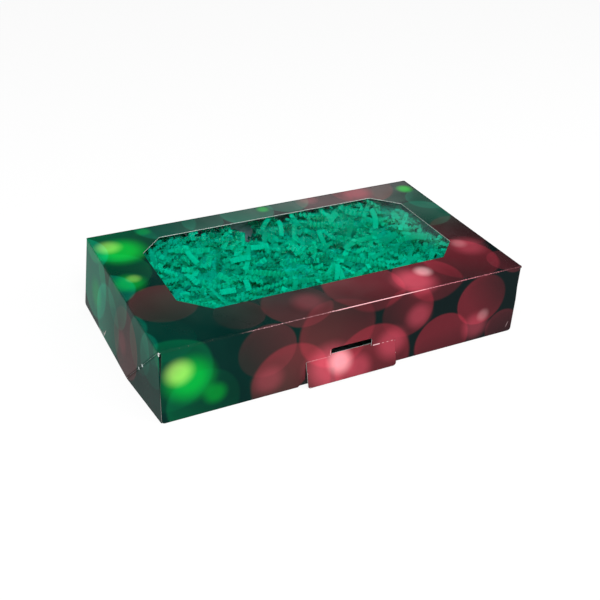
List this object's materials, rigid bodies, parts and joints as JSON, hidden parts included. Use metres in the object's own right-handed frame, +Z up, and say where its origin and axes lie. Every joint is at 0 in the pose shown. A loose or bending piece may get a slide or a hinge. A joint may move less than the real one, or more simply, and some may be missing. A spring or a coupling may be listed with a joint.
{
  "type": "windowed sweet box",
  "caption": "Folding sweet carton with a hinged lid, an octagonal film window, a front lock tab and gusseted lid ends, over a bed of crinkle-cut paper.",
  "frame": {"origin": "middle of the closed carton's footprint, on the surface that the tray stands on", "axes": "+Z up, +X to the right along the front, +Y to the back edge that carries the lid"},
  "size_m": [0.2475, 0.1442, 0.0486],
  "materials": {
    "printed_board": "gloss",
    "clear_film": "gloss",
    "crinkle_paper": "matte"
  },
  "bodies": {
    "tray": {"tray_bottom": "printed_board", "tray_back_wall": "printed_board", "tray_front_wall": "printed_board", "tray_left_end_wall": "printed_board", "tray_right_end_wall": "printed_board", "tray_front_left_glue_flap": "printed_board", "tray_front_right_glue_flap": "printed_board", "tray_back_left_glue_flap": "printed_board", "tray_back_right_glue_flap": "printed_board", "shred_bed": "crinkle_paper", "crinkle_strips": "crinkle_paper"},
    "lid": {"lid_top": "printed_board", "window_film": "clear_film", "lid_front_panel": "printed_board", "lid_left_glue_flap": "printed_board", "lid_right_glue_flap": "printed_board"},
    "lock_tab": {"lock_tab": "printed_board"},
    "left_end_flap": {"lid_left_end_flap": "printed_board"},
    "left_gusset": {"lid_left_gusset": "printed_board"},
    "right_end_flap": {"lid_right_end_flap": "printed_board"},
    "right_gusset": {"lid_right_gusset": "printed_board"}
  },
  "joints": [
    {"name": "lid_hinge", "type": "hinge", "parent": "tray", "child": "lid", "pos_m": [0, 0.0698, 0.0481], "axis": [-1, 0, 0], "range_deg": [0, 180]},
    {"name": "lock_tab_crease", "type": "hinge", "parent": "lid", "child": "lock_tab", "pos_m": [-0.0008, -0.0698, 0.017], "axis": [-1, 0, 0], "range_deg": [-16, 74]},
    {"name": "left_flap_crease", "type": "hinge", "parent": "lid", "child": "left_end_flap", "pos_m": [-0.12, 0, 0.0481], "axis": [0, 1, 0], "range_deg": [-6, 8], "stiffness_Nm_per_rad": 0.005},
    {"name": "left_gusset_crease", "type": "hinge", "parent": "left_end_flap", "child": "left_gusset", "pos_m": [-0.1195, -0.0691, 0.04805], "axis": [0.0739, -0.7071, 0.7032], "range_deg": [-8.51, 11.33]},
    {"name": "right_flap_crease", "type": "hinge", "parent": "lid", "child": "right_end_flap", "pos_m": [0.12, 0, 0.0481], "axis": [0, -1, 0], "range_deg": [-3, 11], "stiffness_Nm_per_rad": 0.005},
    {"name": "right_gusset_crease", "type": "hinge", "parent": "right_end_flap", "child": "right_gusset", "pos_m": [0.1195, -0.0691, 0.04807], "axis": [0.037, 0.7071, -0.7061], "range_deg": [-4.26, 15.58]}
  ],
  "couplings": [
    {"joint": "left_gusset_crease", "follows": "left_flap_crease", "ratio": 1.4142},
    {"joint": "right_gusset_crease", "follows": "right_flap_crease", "ratio": 1.4142}
  ]
}
